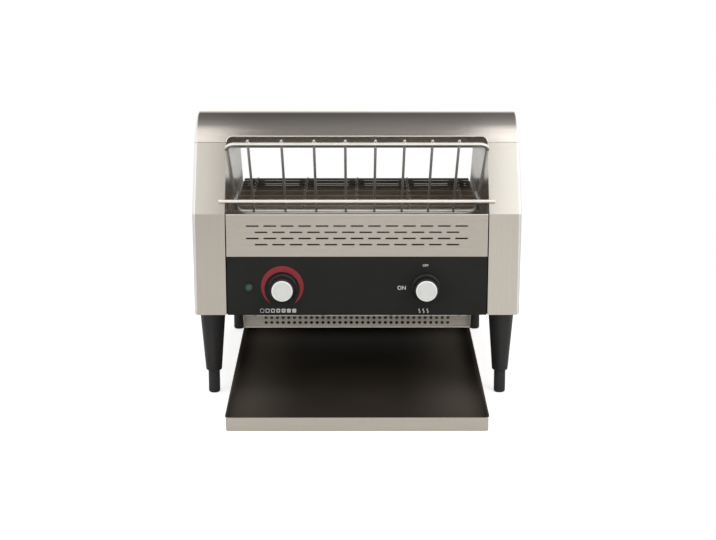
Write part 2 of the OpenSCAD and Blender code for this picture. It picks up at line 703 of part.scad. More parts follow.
module browning_knob() color(black) at_body() knob_body(-browning_x);
module heat_knob() color(black) at_body() knob_body(heat_x);
module browning_knob_cap() color([0.86, 0.86, 0.83]) at_body() knob_cap(-browning_x);
module heat_knob_cap() color([0.86, 0.86, 0.83]) at_body() knob_cap(heat_x);
module browning_spindle() color(nickel) at_body() spindle(-browning_x);
module heat_spindle() color(nickel) at_body() spindle(heat_x);

// Control block behind the panel: threaded neck against the panel, then the body with its terminals
module control_block(x, w, d, h) difference() {
    union() {
        bar_y_axis(x, sheet, sheet + 8, knob_z, spindle_d / 2 + 3);
        translate([x - w / 2, sheet + 8, knob_z - h / 2]) cube([w, d, h]);
        for (i = [-1, 1], j = [-1, 1])
            translate([x + i * w / 4 - 3, sheet + 8 + d, knob_z + j * h / 4 - 0.4]) cube([6, 7, 0.8]);
    }
    bar_y_axis(x, 0, sheet + 24.5, knob_z, spindle_d / 2 + run_gap);
}
module browning_controller() color([0.2, 0.2, 0.22]) at_body() 
    control_block(-browning_x, browning_w, browning_depth, browning_h);
module heat_switch() color([0.2, 0.2, 0.22]) at_body() control_block(heat_x, heat_w, heat_depth, heat_h);

bezel_t = 2.4;
module pilot_lamp() color(black) at_body() difference() {
    union() {
        bar_y_axis(-lamp_x, -bezel_t, 0, knob_z, lamp_d / 2 + 1);
        bar_y_axis(-lamp_x, 0, 26, knob_z, lamp_d / 2 - 1.05);
        for (s = [-1, 1]) translate([-lamp_x + s * 2.4 - 0.4, 26, knob_z - 2]) cube([0.8, 8, 4]);
    }
    bar_y_axis(-lamp_x, -bezel_t - 1, -1, knob_z, lamp_d / 2);
}
module pilot_lens() color([0.15, 0.4, 0.25]) at_body() translate([-lamp_x, -1, knob_z]) rotate([90, 0, 0])
    rotate_extrude() let (r = lamp_d / 2 - 0.05) polygon(concat([[0, 0], [r, 0], [r, bezel_t - 1]],
        [for (a = [15:15:90]) [r * cos(a), bezel_t - 1 + 1.4 * sin(a)]]));

module terminal_block() color(ceramic) at_body() {
    poles = 4;
    pole_w = 14;
    translate([heat_x - poles * pole_w - 30, 40, floor_z]) difference() {
        union() {
            cube([poles * pole_w, 24, 10]);
            for (k = [0:poles - 1]) translate([k * pole_w + 2, 4, 10]) cube([pole_w - 4, 16, 6]);
        }
        for (k = [0:poles - 1], y = [8, 16]) translate([(k + 0.5) * pole_w, y, 6]) cylinder(r = 2.4, h = 12);
    }
}

// ---- cable gland, in a plate that is screwed over a cut-out in the right side panel's rear flange ----
gland_x = wall_x + bay_w / 2;
gland_z = base_z + 38;
gland_neck_r = gland_bore / 2 + 3;
entry_w = 38;
entry_h = 56;
entry_lap = 6;
entry_back = body_d + sheet;
module entry_screw_places() for (s = [-1, 1])
    translate([gland_x, body_d, gland_z + s * (entry_h - entry_lap) / 2]) rotate([90, 0, 0]) children();

module cable_entry_plate() color(steel) at_body() difference() {
    translate([gland_x - entry_w / 2, body_d, gland_z - entry_h / 2]) cube([entry_w, sheet, entry_h]);
    bar_y_axis(gland_x, body_d - 5, body_d + 5, gland_z, gland_neck_r + run_gap);
    entry_screw_places() cylinder(r = 1.6, h = 20, center = true);
}

module cable_gland() color(black) at_body() difference() {
    union() {
        bar_y_axis(gland_x, entry_back, entry_back + 5, gland_z, gland_neck_r + 4);
        bar_y_axis(gland_x, entry_back + 5, body_d + gland_out, gland_z, gland_neck_r + 2);
        bar_y_axis(gland_x, body_d - 9, entry_back, gland_z, gland_neck_r);
        bar_y_axis(gland_x, body_d - 5, body_d, gland_z, gland_neck_r + 3.5, $fn = 6);
    }
    bar_y_axis(gland_x, body_d - 10, body_d + gland_out + 1, gland_z, gland_bore / 2);
}

// ---- screws ----
module base_screw_places() for (y = [front_leg_back + 60, (body_d + front_leg_back) / 2, body_d - 30])
    translate([wall_x + bay_w / 2, y, base_z]) children();
module front_screw_places() for (k = [-1.5:1.5])
    translate([k * (guard_half - guard_screw_in) / 1.5, fold / 2 + 4, base_z]) children();

// Pan-head screw upwards from its seat at z = 0
module screw(l, size = 1) {
    cylinder(r = 2 * size, h = l);
    scale(size) rotate_extrude() polygon([[0, -2.4], [2.6, -2.2], [3.6, -1.2], [3.8, 0], [0, 0]]);
}
module base_screws() color(nickel) at_body() both_sides() base_screw_places() screw(6);
module entry_screws() color(nickel) at_body() entry_screw_places() translate([0, 0, -sheet]) screw(6, 0.75);
module front_screws() color(nickel) at_body() front_screw_places() translate([0, 0, -sheet]) screw(7);

// ---- legs ----
module leg_at(x, y) translate([x, y, 0]) rotate_extrude() let (b = stem_d / 2 + run_gap, t = leg_top_d / 2)
    polygon([[b, foot_h], [leg_low_d / 2 - 1, foot_h], [leg_low_d / 2, foot_h + 1],
        [t, base_z - 4], [t, base_z], [0, base_z], [0, foot_h + stem_l + 2], [b, foot_h + stem_l + 2]]);

module foot_at(x, y) translate([x, y, 0]) rotate_extrude() let (r = foot_d / 2, e = 2.5)
    polygon(concat([[0, 0]], [for (a = [-90:22.5:0]) [r - e + e * cos(a), e + e * sin(a)]],
        [[r, foot_h - 2], [r - 1, foot_h - foot_gap], [stem_d / 2, foot_h - foot_gap],
            [stem_d / 2, foot_h + stem_l], [0, foot_h + stem_l]]));

front_leg_x = body_w / 2 - front_leg_in;
rear_leg_x = body_w / 2 - rear_leg_in;
rear_leg_y = body_d - rear_leg_back;
module front_left_leg() color(black) at_body() leg_at(-front_leg_x, front_leg_back);
module front_right_leg() color(black) at_body() leg_at(front_leg_x, front_leg_back);
module rear_left_leg() color(black) at_body() leg_at(-rear_leg_x, rear_leg_y);
module rear_right_leg() color(black) at_body() leg_at(rear_leg_x, rear_leg_y);
module front_left_foot() color(black) at_body() foot_at(-front_leg_x, front_leg_back);
module front_right_foot() color(black) at_body() foot_at(front_leg_x, front_leg_back);
module rear_left_foot() color(black) at_body() foot_at(-rear_leg_x, rear_leg_y);
module rear_right_foot() color(black) at_body() foot_at(rear_leg_x, rear_leg_y);

// ---- tray ----
module rounded_rect(x, y0, y1, r) {
    translate([-x, y0 + r]) square([2 * x, y1 - y0 - 2 * r]);
    translate([r - x, y0]) square([2 * (x - r), y1 - y0]);
    for (sx = [-1, 1], y = [y0 + r, y1 - r]) translate([sx * (x - r), y]) circle(r);
}
module toast_tray() color(dark_steel) at_body() {
    r = 5;
    hem = 1.4;
    difference() {
        linear_extrude(tray_h) rounded_rect(tray_half, -tray_out, tray_l - tray_out, r);
        translate([0, 0, tray_t]) linear_extrude(tray_h)
            rounded_rect(tray_half - tray_t, tray_t - tray_out, tray_l - tray_out - tray_t, r - tray_t);
    }
    both_sides() translate([tray_half - tray_t, r - tray_out, tray_h - hem]) cube([tray_t + hem, tray_l - 2 * r, hem]);
}

left_side_panel();
right_side_panel();
hood();
mouth_bar();
vent_panel();
control_panel();
rear_panel();
base_plate();
left_chamber_wall();
right_chamber_wall();
compartment_cover();
heat_guard();
toast_chute();
upper_reflector();
lower_reflector();
upper_elements();
lower_elements();
element_bushes();
belt_side_guides();
belt_support_rails();
belt_cross_bars();
conveyor_belt();
shaft_bushes();
drive_shaft();
drive_rollers();
drive_shaft_collar();
idler_shaft();
idler_rollers();
idler_shaft_collars();
gear_motor();
rack_frame();
rack_wires_group();
rack_rest_bar();
rack_pegs();
browning_knob();
browning_knob_cap();
browning_spindle();
browning_controller();
heat_knob();
heat_knob_cap();
heat_spindle();
heat_switch();
pilot_lamp();
pilot_lens();
terminal_block();
cable_entry_plate();
cable_gland();
base_screws();
front_screws();
entry_screws();
front_left_leg();
front_right_leg();
rear_left_leg();
rear_right_leg();
front_left_foot();
front_right_foot();
rear_left_foot();
rear_right_foot();
toast_tray();
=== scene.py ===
import math

import bmesh
import bpy
from mathutils import Matrix, Vector


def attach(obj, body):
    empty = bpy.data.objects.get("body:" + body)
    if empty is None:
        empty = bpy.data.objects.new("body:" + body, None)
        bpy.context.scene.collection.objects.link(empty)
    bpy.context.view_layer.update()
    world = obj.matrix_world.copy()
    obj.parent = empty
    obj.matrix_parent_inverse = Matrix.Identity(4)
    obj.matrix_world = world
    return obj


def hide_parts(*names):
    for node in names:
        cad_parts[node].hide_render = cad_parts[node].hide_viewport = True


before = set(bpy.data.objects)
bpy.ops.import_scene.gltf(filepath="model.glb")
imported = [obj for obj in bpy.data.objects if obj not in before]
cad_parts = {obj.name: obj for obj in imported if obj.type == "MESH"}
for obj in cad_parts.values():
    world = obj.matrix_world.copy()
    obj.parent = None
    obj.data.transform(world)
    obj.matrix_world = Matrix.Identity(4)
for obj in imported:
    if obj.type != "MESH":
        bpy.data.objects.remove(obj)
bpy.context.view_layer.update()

# ---- Studio ----
# A white counter under soft light from above, with two bright panels in front and a dark gap between
# them, and a bright wall behind. Polished steel mirrors the panels; everything else gets even light.
scene = bpy.context.scene
scene.view_settings.view_transform = "Standard"

eye = bpy.data.cameras.new("eye")
eye.sensor_width = 36
eye.lens = 86.48
camera = bpy.data.objects.new("camera", eye)
camera.location = (-0.0033, -2.570, 0.834)
camera.rotation_euler = (math.radians(75.18), 0, math.radians(-0.113))
scene.collection.objects.link(camera)
scene.camera = camera


def soft_lamp(name, place, target, size, watts):
    lamp = bpy.data.lights.new(name, "AREA")
    lamp.shape = "RECTANGLE"
    lamp.size, lamp.size_y = size
    lamp.energy = watts
    holder = bpy.data.objects.new(name, lamp)
    holder.location = place
    holder.rotation_euler = (Vector(target) - Vector(place)).to_track_quat("-Z", "Y").to_euler()
    holder.visible_glossy = False
    scene.collection.objects.link(holder)


soft_lamp("overhead_lamp", (0, -0.1, 2.2), (0, 0, 0.2), (2.4, 2.4), 26)
soft_lamp("right_lamp", (1.5, -1.7, 1.5), (0, 0, 0.25), (1.1, 1.1), 13)
soft_lamp("left_lamp", (-1.7, -1.5, 1.2), (0, 0, 0.25), (1.1, 1.1), 7)


class Value:
    """A shader socket that can be written into Python expressions."""

    def __init__(self, finish, socket):
        self.finish = finish
        self.socket = socket

    def maths(self, operation, *others):
        return self.finish.node("ShaderNodeMath", {"operation": operation}, [self, *others])

    def __add__(self, other):
        return self.maths("ADD", other)

    def __mul__(self, other):
        return self.maths("MULTIPLY", other)

    def __sub__(self, other):
        return self.maths("SUBTRACT", other)

    def __rsub__(self, other):
        return (self * -1) + other

    def __pow__(self, other):
        return self.maths("POWER", other)

    __radd__ = __add__
    __rmul__ = __mul__

    def clamped(self):
        return self.maths("MINIMUM", 1.0).maths("MAXIMUM", 0.0)

    def step_up(self, low, high):
        """0 below low, 1 above high, smooth between."""
        share = ((self - low) * (1 / (high - low))).clamped()
        return share * share * (3 - share * 2)


class Finish:
    """A material or the world while its nodes are being joined up."""

    def __init__(self, owner):
        owner.use_nodes = True
        self.owner = owner
        self.tree = owner.node_tree

    def node(self, kind, settings=None, values=None, output=0):
        made = self.tree.nodes.new(kind)
        for key, value in (settings or {}).items():
            if key == "stops":
                ramp = made.color_ramp.elements
                for place, colour in value:
                    ramp.new(place).color = (*colour, 1)
                ramp.remove(ramp[0])
                ramp.remove(ramp[-1])
            else:
                setattr(made, key, value)
        pairs = values.items() if isinstance(values, dict) else enumerate(values or [])
        for key, value in pairs:
            self.feed(made.inputs[key], value)
        return Value(self, made.outputs[output]) if len(made.outputs) else None

    def feed(self, socket, value):
        if isinstance(value, Value):
            self.tree.links.new(value.socket, socket)
        elif socket.type == "RGBA" and len(value) == 3:
            socket.default_value = (*value, 1)
        else:
            socket.default_value = value

    def mix(self, share, first, second):
        """One colour blended into another; the node's colour sockets share a name, so they go by number."""
        return self.node("ShaderNodeMix", {"data_type": "RGBA"}, {0: share, 6: first, 7: second}, output=2)

    def place(self):
        """Where a point lies, in the object's coordinates."""
        return self.node("ShaderNodeTexCoord", output="Object")

    def part(self, where, axis):
        """The X, Y or Z of a place."""
        return self.node("ShaderNodeSeparateXYZ", None, [where], output=axis)

    def noise(self, where, scale, detail, stretch=(1, 1, 1)):
        """Noise that is drawn out into lines along an axis whose stretch is small."""
        laid = self.node("ShaderNodeMapping", None, {"Vector": where, "Scale": stretch})
        return self.node("ShaderNodeTexNoise", None, {"Vector": laid, "Scale": scale, "Detail": detail})


def new_finish(name, **sockets):
    """A Principled material whose plain sockets are given by name, with underscores for spaces."""
    finish = Finish(bpy.data.materials.new(name))
    finish.shader = finish.tree.nodes["Principled BSDF"]
    for key, value in sockets.items():
        finish.feed(finish.shader.inputs[key.replace("_", " ")], value)
    return finish


def set_bump(finish, height, strength, distance=0.0002):
    bump = finish.node("ShaderNodeBump", None, {"Height": height, "Strength": strength, "Distance": distance})
    finish.feed(finish.shader.inputs["Normal"], bump)


world = bpy.data.worlds.new("studio")
scene.world = world
sky = Finish(world)
sky.tree.nodes.clear()
look = sky.node("ShaderNodeTexCoord", output="Generated")
side = sky.part(look, "X")
turn = sky.part(look, "Z").maths("ARCTAN2", sky.part(look, "Y")) * (1 / math.pi)


def sweep(stops):
    """Brightness mirrored from each height, from the wall behind (0) over the top to the front (1)."""
    tinted = [(at, (bright * 0.95, bright * 0.98, bright)) for at, bright in stops]
    return sky.node("ShaderNodeValToRGB", {"stops": tinted}, {0: turn})


band = sweep([(0.19, 1.0), (0.25, 0.09), (0.3, 0.097), (0.36, 0.12), (0.44, 0.152), (0.52, 0.185), (0.6, 0.2),
              (0.7, 0.24), (0.8, 0.4), (0.95, 0.62)])
panel = sweep([(0.19, 1.0), (0.25, 0.11), (0.3, 0.13), (0.37, 0.165), (0.455, 0.3), (0.525, 0.82), (0.6, 1.0),
               (0.69, 0.97), (0.8, 0.75), (0.95, 0.62)])
PANEL_EDGE = 0.0745
WHITE = (1.0, 1.0, 1.0)
ROOM_WALL = (0.75, 0.75, 0.75)
EVEN_LIGHT = 0.52
COUNTER_GLOW = 0.62
off_centre = side.maths("ABSOLUTE")
studio = sky.mix(off_centre.step_up(PANEL_EDGE - 0.004, PANEL_EDGE + 0.004), band, panel)
mirrored = sky.mix(off_centre.step_up(0.35, 0.6), studio, ROOM_WALL)
behind = 1 - turn.step_up(0.15, 0.22)
brightness = 1.46 + 0.33 * side.step_up(-0.05, 0.08) + 0.15 * behind
camera_ray = sky.node("ShaderNodeLightPath", output="Is Camera Ray")
glossy_ray = sky.node("ShaderNodeLightPath", output="Is Glossy Ray")
even = sky.node("ShaderNodeBackground", None, {"Color": WHITE, "Strength": EVEN_LIGHT})
seen = sky.node("ShaderNodeBackground", None, {"Color": WHITE, "Strength": 1.0})
shine = sky.node("ShaderNodeBackground", None, {"Color": mirrored, "Strength": brightness})
light = sky.node("ShaderNodeMixShader", None, {0: glossy_ray, 1: even, 2: shine})
light = sky.node("ShaderNodeMixShader", None, {0: camera_ray, 1: light, 2: seen})
sky.node("ShaderNodeOutputWorld", None, {"Surface": light})

counter_mesh = bmesh.new()
bmesh.ops.create_grid(counter_mesh, x_segments=1, y_segments=1, size=6)
counter_data = bpy.data.meshes.new("counter")
counter_mesh.to_mesh(counter_data)
counter = bpy.data.objects.new("counter", counter_data)
scene.collection.objects.link(counter)
counter_paint = Finish(bpy.data.materials.new("counter_paint"))
counter_paint.tree.nodes.clear()
where = counter_paint.place()
away = counter_paint.node("ShaderNodeVectorMath", {"operation": "LENGTH"}, [where], output="Value")
plain = counter_paint.node("ShaderNodeBsdfDiffuse", None, {"Color": (0.8, 0.8, 0.8)})
glow = counter_paint.node("ShaderNodeEmission", None, {"Color": WHITE, "Strength": COUNTER_GLOW})
white = counter_paint.node("ShaderNodeEmission", None, {"Color": WHITE, "Strength": 1.0})
camera_ray = counter_paint.node("ShaderNodeLightPath", output="Is Camera Ray")
lifted = counter_paint.node("ShaderNodeMixShader", None, {0: camera_ray, 2: glow})
near = counter_paint.node("ShaderNodeAddShader", None, {0: plain, 1: lifted})
far = camera_ray * away.step_up(0.5, 0.95)
counter_look = counter_paint.node("ShaderNodeMixShader", None, {0: far, 1: near, 2: white})
counter_paint.node("ShaderNodeOutputMaterial", None, {"Surface": counter_look})
counter_data.materials.append(counter_paint.owner)

# ---- Side panels ----
# Each side is one folded tray of 1.2 mm brushed stainless steel: the skin, the flange beside the mouth and
# the flanges at the back and the bottom. The grain runs along the skin and up the front flange. The rounded
# bends between them carry a painted highlight.
FRONT = -0.155
WALL = 0.1908
STEEL = (0.555, 0.505, 0.44)


def brushed_steel(name, along, tint=STEEL, rough=0.22):
    """Stainless steel with fine grain lines that run along one axis, and soft cloudy wear."""
    finish = new_finish(name, Metallic=1.0)
    where = finish.place()
    stretch = tuple(0.012 if axis == along else 1.0 for axis in "xyz")
    lines = finish.noise(where, 2400, 2.0, stretch)
    bands = finish.noise(where, 700, 2.0, stretch)
    cloud = finish.noise(where, 9, 2.0)
    dark = tuple(0.95 * part for part in tint)
    light = tuple(min(1.0, 1.04 * part) for part in tint)
    colour = finish.mix((lines * 0.6 + bands * 0.4).step_up(0.3, 0.7), dark, light)
    finish.feed(finish.shader.inputs["Base Color"], colour)
    finish.feed(finish.shader.inputs["Roughness"], rough - 0.03 + 0.05 * bands + 0.02 * cloud)
    set_bump(finish, lines, 0.04)
    return finish.owner


def show(name, mesh, material, body, slot, replaces=(),
         smooth=35.0, edge=0.0, edge_steps=2, level=True, thicken=0.0):
    """Puts a finished mesh on its body, smooth but for sharp edges, which may be rounded.

    level lights flat faces evenly beside rounded edges, and thicken moves the whole surface outwards.
    """
    data = bpy.data.meshes.new(name)
    mesh.to_mesh(data)
    mesh.free()
    for one in material if isinstance(material, list) else [material]:
        data.materials.append(one)
    data.shade_smooth()
    data.set_sharp_from_angle(angle=math.radians(smooth))
    piece = bpy.data.objects.new(name, data)
    scene.collection.objects.link(piece)
    if edge:
        rounding = piece.modifiers.new("rounding", "BEVEL")
        rounding.width = edge
        rounding.segments = edge_steps
        rounding.limit_method = "ANGLE"
        rounding.angle_limit = math.radians(smooth)
        rounding.harden_normals = True
    if thicken:
        thicker = piece.modifiers.new("thicker", "DISPLACE")
        thicker.strength = thicken
        thicker.mid_level = 0.0
    if level:
        even_light = piece.modifiers.new("even_light", "WEIGHTED_NORMAL")
        even_light.keep_sharp = True
    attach(piece, body)
    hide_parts(*replaces)
    return piece


MERGE_GAP = 0.00001
FLAT_ANGLE = math.radians(0.5)


def joined(node):
    """The node's own shape with its loose triangles merged and its flat faces made whole."""
    mesh = bmesh.new()
    mesh.from_mesh(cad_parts[node].data)
    bmesh.ops.remove_doubles(mesh, verts=mesh.verts, dist=MERGE_GAP)
    bmesh.ops.dissolve_limit(mesh, angle_limit=FLAT_ANGLE, use_dissolve_boundaries=False,
                             verts=mesh.verts, edges=mesh.edges)
    return mesh


def dress(node, material, body, slot, **looks):
    """Shows a node's own shape in its finish, in place of the plain solid."""
    return show(node + "_finished", joined(node), material, body, slot, replaces=[node], **looks)


side_steel = brushed_steel("side_steel", "y")
left_flange_steel = brushed_steel("left_flange_steel", "z", rough=0.12)
# The right flange is painted lighter than the left, which is painted light.
right_flange_painted_light = brushed_steel("right_flange_painted_light", "z", tint=(0.63, 0.58, 0.51), rough=0.12)
# The bends' lighter steel is a painted highlight.
bend_painted_highlight = brushed_steel("bend_painted_highlight", "z", tint=(0.84, 0.81, 0.77), rough=0.3)


def is_bend(face):
    """A strip of a rounded fold between a side and the front."""
    return 0.15 < abs(face.normal.x) < 0.9


for node, flange_steel in (("left_side_panel", left_flange_steel), ("right_side_panel", right_flange_painted_light)):
    folded = joined(node)
    for face in folded.faces:
        face.material_index = 2 if is_bend(face) else 0 if abs(face.normal.x) > 0.7 else 1
    finishes = [side_steel, flange_steel, bend_painted_highlight]
    show(node + "_finished", folded, finishes, "body", "casing_steel", [node], edge=0.0005)

# ---- Hood ----
# One sheet that makes the curved nose, the flat top and the rear slope, rolled and folded over the sides.
# A stiffening bar is welded along its edge over the mouth, whose upper edge and corners have a thin hem.
hood_steel = brushed_steel("hood_steel", "x", tint=(0.7, 0.625, 0.555), rough=0.08)
hood = joined("hood")
# The hood's rounded bends get the same painted highlight.
for face in hood.faces:
    face.material_index = 1 if is_bend(face) else 0
show("hood_finished", hood, [hood_steel, bend_painted_highlight], "body", "casing_steel", ["hood"], edge=0.0003)
dress("mouth_bar", hood_steel, "body", "casing_steel", edge=0.0003)
NOSE_RADIUS = 0.0886
NOSE = Vector((0, FRONT + 0.1363, 0.3224))
FACE = math.radians(56.2)
MOUTH_RISE = 0.0098
MOUTH_CORNER = 0.009
HEM = 0.0007


def on_nose(x, up):
    """A point on the outer face of the nose, at a height up its slope from the seam."""
    out = math.sqrt(NOSE_RADIUS ** 2 - up ** 2)
    slope = Vector((0, math.cos(FACE), math.sin(FACE)))
    return NOSE + Vector((x, 0, 0)) + up * slope + out * Vector((0, -math.sin(FACE), math.cos(FACE)))


def rod(name, path, radius, material, body, slot, replaces=(), closed=False, pick=None):
    """A round rod along a path, made a mesh; pick chooses the finish of each face."""
    line = bpy.data.curves.new(name, "CURVE")
    line.dimensions = "3D"
    line.bevel_depth = radius
    line.bevel_resolution = 6
    line.use_fill_caps = not closed
    spline = line.splines.new("POLY")
    spline.points.add(len(path) - 1)
    spline.use_cyclic_u = closed
    for point, place in zip(spline.points, path):
        point.co = (*place, 1)
    holder = bpy.data.objects.new(name + "_curve", line)
    scene.collection.objects.link(holder)
    bpy.context.view_layer.update()
    tube = bpy.data.meshes.new_from_object(holder.evaluated_get(bpy.context.evaluated_depsgraph_get()))
    bpy.data.objects.remove(holder)
    mesh = bmesh.new()
    mesh.from_mesh(tube)
    bmesh.ops.remove_doubles(mesh, verts=mesh.verts, dist=MERGE_GAP)
    bmesh.ops.recalc_face_normals(mesh, faces=mesh.faces)
    for face in mesh.faces if pick else ():
        face.material_index = pick(face.calc_center_median(), face.normal)
    return show(name, mesh, material, body, slot, replaces, smooth=50, level=False)


def bright_rod(name, tint, rough, metal=0.7):
    """Polished steel, drawn lengthways, with faint haze."""
    finish = new_finish(name, Metallic=metal)
    where = finish.place()
    haze = finish.noise(where, 45, 4.0)
    dull = tuple(0.9 * part for part in tint)
    finish.feed(finish.shader.inputs["Base Color"], finish.mix(haze, dull, tint))
    finish.feed(finish.shader.inputs["Roughness"], rough + 0.1 * haze)
    set_bump(finish, finish.noise(where, 500, 3.0), 0.01)
    return finish.owner


hem_steel = bright_rod("hem_steel", (0.9, 0.87, 0.82), 0.35)
turns = [math.radians(9 * k) for k in range(11)]
hem_path = [on_nose(MOUTH_CORNER - WALL - MOUTH_CORNER * math.cos(a),
                    MOUTH_RISE - MOUTH_CORNER + MOUTH_CORNER * math.sin(a)) for a in turns]
hem_path += [Vector((-point.x, point.y, point.z)) for point in reversed(hem_path)]
rod("mouth_hem", hem_path, HEM, hem_steel, "body", "casing_steel")

# ---- Front and back panels ----
# A brushed steel panel with four staggered rows of slots that cool the space behind it, and the plain rear
# and base panels. All have folded edges and sit between the side flanges. The vent panel's top ledge has a
# painted highlight in its middle, and painted shade at its ends and along its front edge.
vent_steel = brushed_steel("vent_steel", "x", rough=0.26)
ledge_painted_light = new_finish("ledge_painted_light", Metallic=0.1, Roughness=0.4)
where = ledge_painted_light.place()
# The ledge is painted light in its middle and painted shade at its ends and along its front edge.
bright = 1 - ledge_painted_light.part(where, "X").maths("ABSOLUTE").step_up(0.155, 0.168)
bright = bright * ledge_painted_light.part(where, "Y").step_up(FRONT + 0.005, FRONT + 0.0085)
ledge_painted_light.feed(ledge_painted_light.shader.inputs["Base Color"],
                 ledge_painted_light.mix(bright, (0.07, 0.063, 0.053), (0.88, 0.85, 0.79)))
plate_steel = brushed_steel("plate_steel", "x", rough=0.36)
VENT_TOP = 0.278
CLOSE = 0.0001
SLOTS_LOW = 0.225
SLOTS_HALF = 0.17
# The sides of the slots and of the guard's holes are painted dark, which is painted shade.
cut_painted_shade = brushed_steel("cut_painted_shade", "x", tint=(0.06, 0.055, 0.05), rough=0.5)
vent = joined("vent_panel")
for face in vent.faces:
    middle = face.calc_center_median()
    cut = abs(face.normal.y) < 0.5 and middle.y < FRONT + 0.002
    slotted = SLOTS_LOW < middle.z < VENT_TOP - 0.004 and abs(middle.x) < SLOTS_HALF
    ledge = face.normal.z > 0.9 and middle.z > VENT_TOP - CLOSE
    face.material_index = 3 if ledge else 1 if cut and slotted else 0
# The ledge's rounded front rim gets the same painted highlight.
rim = [edge for edge in vent.edges
       if all(vert.co.z > VENT_TOP - CLOSE and vert.co.y < FRONT + CLOSE for vert in edge.verts)]
bmesh.ops.bevel(vent, geom=rim, offset=0.0011, segments=4, profile=0.5, affect="EDGES", material=2)
show("vent_panel_finished", vent, [vent_steel, cut_painted_shade, bend_painted_highlight, ledge_painted_light.owner], "body",
     "casing_steel", ["vent_panel"], edge=0.0003)
# The rear panel's inner face is painted dark, which is painted shade.
rear_inside_painted_shade = brushed_steel("rear_inside_painted_shade", "x", tint=(0.12, 0.098, 0.075), rough=0.5)
rear = joined("rear_panel")
for face in rear.faces:
    face.material_index = 1 if face.normal.y < -0.5 else 0
show("rear_panel_finished", rear, [plate_steel, rear_inside_painted_shade], "body", "casing_steel", ["rear_panel"],
     edge=0.0004)
# The base plate's dark steel is painted shade under the body.
dress("base_plate", brushed_steel("base_painted_shade", "x", tint=(0.1, 0.095, 0.085), rough=0.5), "body",
      "casing_steel", edge=0.0003)
dress("terminal_block", new_finish("terminal_white", Base_Color=(0.7, 0.68, 0.6), Roughness=0.5).owner,
      "body", "ceramic", edge=0.0004)

# ---- Control panel ----
# A steel panel in satin black paint, with its marks screen printed: a red arc that grows round the browning
# knob, a row of toast slices from light to dark, ON and OFF for the heat knob and three rising waves.
KNOB_HEIGHT = 0.169
BROWNING_X = -0.1083
HEAT_X = 0.1006
INK = 0.00012
PRINT_Y = FRONT - INK
LETTER_WHITE = (0.62, 0.62, 0.6)
MARK_WHITE = (0.6, 0.6, 0.58)


def satin_black(name, colour, rough, grain_size, grain_depth, spread=0.25, shine=0.35):
    """Black paint or moulded plastic: fine grain, slightly uneven sheen."""
    finish = new_finish(name, Specular_IOR_Level=shine)
    where = finish.place()
    fine = finish.noise(where, grain_size, 2.0)
    cloud = finish.noise(where, 22, 3.0)
    lighter = tuple(part * (1 + spread) for part in colour)
    finish.feed(finish.shader.inputs["Base Color"], finish.mix(cloud.step_up(0.3, 0.7), colour, lighter))
    finish.feed(finish.shader.inputs["Roughness"], rough + 0.08 * (fine - 0.5) + 0.06 * cloud)
    set_bump(finish, fine, grain_depth, 0.0001)
    return finish.owner


panel_black = satin_black("panel_black", (0.0095, 0.0093, 0.0082), 0.5, 2600, 0.25, shine=0.24)
dress("control_panel", panel_black, "body", "black_panel", edge=0.0004)


def printed(name, mesh, colour):
    """Ink on the panel, with the slight unevenness of screen printing."""
    ink = new_finish(name + "_ink", Specular_IOR_Level=0.3)
    where = ink.place()
    speckle = ink.noise(where, 1500, 2.0)
    worn = tuple(part * 0.8 for part in colour)
    ink.feed(ink.shader.inputs["Base Color"], ink.mix(speckle.step_up(0.35, 0.6), worn, colour))
    ink.feed(ink.shader.inputs["Roughness"], 0.5 + 0.1 * speckle)
    return show(name, mesh, ink.owner, "body", "black_panel", level=False)


ARC_INNER = 0.0226
ARC_OUTER = 0.031
ARC_START = 235
ARC_TURN = -290
ARC_STEPS = 48
arc = bmesh.new()
rows = []
for k in range(ARC_STEPS + 1):
    share = k / ARC_STEPS
    angle = math.radians(ARC_START + ARC_TURN * share)
    inside = ARC_OUTER - (ARC_OUTER - ARC_INNER) * math.sin(math.pi * share ** 1.1) ** 0.8 - 0.0004
    ends = [Vector((BROWNING_X - 0.0004 + radius * math.cos(angle), PRINT_Y,
                    KNOB_HEIGHT + 0.001 + radius * math.sin(angle))) for radius in (inside, ARC_OUTER)]
    rows.append([arc.verts.new(point) for point in ends])
for a, b in zip(rows, rows[1:]):
    arc.faces.new((a[0], b[0], b[1], a[1]))
bmesh.ops.recalc_face_normals(arc, faces=arc.faces)
printed("browning_arc", arc, (0.32, 0.034, 0.042))


def panel_word(name, words, size, x, z):
    """A printed word, its middle at x and z."""
    font = bpy.data.curves.new(name, "FONT")
    font.body = words
    font.size = size
    font.align_x = "CENTER"
    font.align_y = "CENTER"
    font.offset = size * 0.035
    holder = bpy.data.objects.new(name + "_curve", font)
    scene.collection.objects.link(holder)
    bpy.context.view_layer.update()
    flat = bpy.data.meshes.new_from_object(holder.evaluated_get(bpy.context.evaluated_depsgraph_get()))
    bpy.data.objects.remove(holder)
    mesh = bmesh.new()
    mesh.from_mesh(flat)
    upright = Matrix.Translation((x, PRINT_Y, z)) @ Matrix.Rotation(math.pi / 2, 4, "X")
    bmesh.ops.transform(mesh, matrix=upright, verts=mesh.verts)
    return printed(name, mesh, LETTER_WHITE)


panel_word("off_mark", "OFF", 0.0046, HEAT_X - 0.0012, 0.2016)
panel_word("on_mark", "ON", 0.008, HEAT_X - 0.0355, 0.1678)

